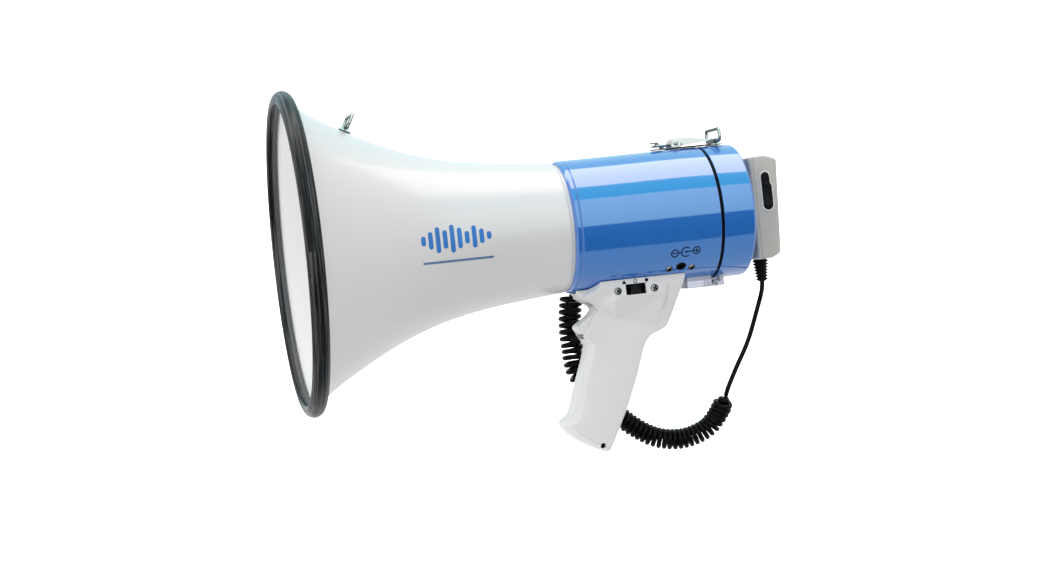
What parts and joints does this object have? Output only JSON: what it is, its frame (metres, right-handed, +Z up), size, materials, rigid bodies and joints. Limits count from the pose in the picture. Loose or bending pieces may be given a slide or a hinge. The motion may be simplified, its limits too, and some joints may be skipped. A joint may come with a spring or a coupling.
{
  "type": "handheld megaphone",
  "caption": "Pistol-grip megaphone with a flared horn, rubber rim, round battery drum with latched rear cover, and a fist microphone on a coiled cord.",
  "frame": {"origin": "where the horn's axis meets the plane of the bell's mouth", "axes": "+X along the horn's axis to the rear, +Z up, -Y is the user's left side, with the mode switch"},
  "size_m": [0.3573, 0.23, 0.2865],
  "materials": {
    "white_plastic": "satin moulded white",
    "blue_plastic": "glossy moulded blue",
    "black_rubber": "matt rubber",
    "grip_plastic": "fine satin light grey",
    "mic_plastic": "fine spark-eroded warm grey",
    "black_plastic": "satin black",
    "clear_plastic": "clear moulded plastic",
    "plated_steel": "bright nickel plate",
    "spring_steel": "drawn wire",
    "zinc_steel": "zinc plate",
    "ferrite": "ground ferrite",
    "diaphragm_film": "phenolic film",
    "board_green": "solder mask",
    "aluminium": "extruded",
    "cell_wrap": "printed sleeve with no text",
    "inner_grey": "moulded grey"
  },
  "bodies": {
    "main": {"bell": "white_plastic", "rim_guard": "black_rubber", "reflector": "white_plastic", "throat_tube": "white_plastic", "clamp_ring": "black_plastic", "top_plate": "zinc_steel", "magnet_ring": "ferrite", "yoke": "zinc_steel", "main_housing": "blue_plastic", "seam_gasket": "black_rubber", "circuit_board": "board_green", "heat_sink": "aluminium", "capacitor": "black_plastic", "battery_cup": "inner_grey", "battery_1": "cell_wrap", "battery_2": "cell_wrap", "battery_3": "cell_wrap", "battery_4": "cell_wrap", "battery_5": "cell_wrap", "battery_6": "cell_wrap", "battery_7": "cell_wrap", "battery_8": "cell_wrap", "dc_jack": "black_plastic", "dc_screw_1": "plated_steel", "dc_screw_2": "plated_steel", "latch_keeper": "plated_steel", "hinge_leaf_front": "clear_plastic", "hinge_pin": "zinc_steel", "strap_clip_front": "plated_steel", "grip_left": "grip_plastic", "grip_right": "grip_plastic", "trigger_pin": "zinc_steel", "trigger_spring": "spring_steel", "trigger_microswitch": "black_plastic", "mode_switch_body": "black_plastic", "switch_screw_1": "plated_steel", "switch_screw_2": "plated_steel", "grip_screw_bottom": "plated_steel", "cord_lead": "black_rubber", "cord_coil": "black_rubber"},
    "diaphragm": {"diaphragm": "diaphragm_film"},
    "rear_cover": {"rear_cover": "blue_plastic", "battery_contact_plate": "plated_steel", "hinge_leaf_rear": "clear_plastic", "latch_base": "plated_steel", "latch_rivet_1": "zinc_steel", "latch_rivet_2": "zinc_steel", "strap_clip_rear": "plated_steel", "mic_hanger": "black_plastic"},
    "latch_lever": {"latch_lever": "plated_steel"},
    "latch_bail": {"latch_bail": "plated_steel"},
    "strap_loop_front": {"strap_loop_front": "plated_steel"},
    "strap_loop_rear": {"strap_loop_rear": "plated_steel"},
    "trigger": {"trigger": "grip_plastic"},
    "mode_switch_slider": {"mode_switch_slider": "black_plastic"},
    "microphone": {"mic_front_shell": "mic_plastic", "mic_back_shell": "mic_plastic", "mic_capsule": "black_plastic", "mic_strain_relief": "black_rubber"},
    "talk_button": {"mic_talk_button": "black_plastic"}
  },
  "joints": [
    {"name": "diaphragm_travel", "type": "slide", "parent": "main", "child": "diaphragm", "axis": [1, 0, 0], "range_m": [-0.0003, 0.0003]},
    {"name": "cover_hinge", "type": "hinge", "parent": "main", "child": "rear_cover", "pos_m": [0.305, 0, -0.0516], "axis": [0, 1, 0], "range_deg": [0, 90], "deforming": ["cord_lead", "cord_coil"]},
    {"name": "latch_lever_swing", "type": "hinge", "parent": "rear_cover", "child": "latch_lever", "pos_m": [0.2882, 0, 0.0524], "axis": [0, -1, 0], "range_deg": [0, 120]},
    {"name": "latch_bail_swing", "type": "hinge", "parent": "latch_lever", "child": "latch_bail", "pos_m": [0.2925, 0, 0.0516], "axis": [0, -1, 0], "range_deg": [-115, 1]},
    {"name": "strap_loop_front_swing", "type": "hinge", "parent": "main", "child": "strap_loop_front", "pos_m": [0.04966, 0, 0.08559], "axis": [0, 1, 0], "range_deg": [-70, 70]},
    {"name": "strap_loop_rear_swing", "type": "hinge", "parent": "rear_cover", "child": "strap_loop_rear", "pos_m": [0.3195, 0, 0.05145], "axis": [0, 1, 0], "range_deg": [-20, 80]},
    {"name": "trigger_pull", "type": "hinge", "parent": "main", "child": "trigger", "pos_m": [0.221, 0, -0.06], "axis": [0, -1, 0], "range_deg": [0, 7]},
    {"name": "mode_switch_slide", "type": "slide", "parent": "main", "child": "mode_switch_slider", "axis": [1, 0, 0], "range_m": [-0.0035, 0.0035]},
    {"name": "mic_lift", "type": "slide", "parent": "rear_cover", "child": "microphone", "axis": [0, 0, 1], "range_m": [0, 0.016]},
    {"name": "talk_button_press", "type": "slide", "parent": "microphone", "child": "talk_button", "axis": [0, 1, 0], "range_m": [0, 0.0015]}
  ],
  "couplings": [
    {"joint": "latch_bail_swing", "follows": "latch_lever_swing", "ratio": -0.823}
  ]
}
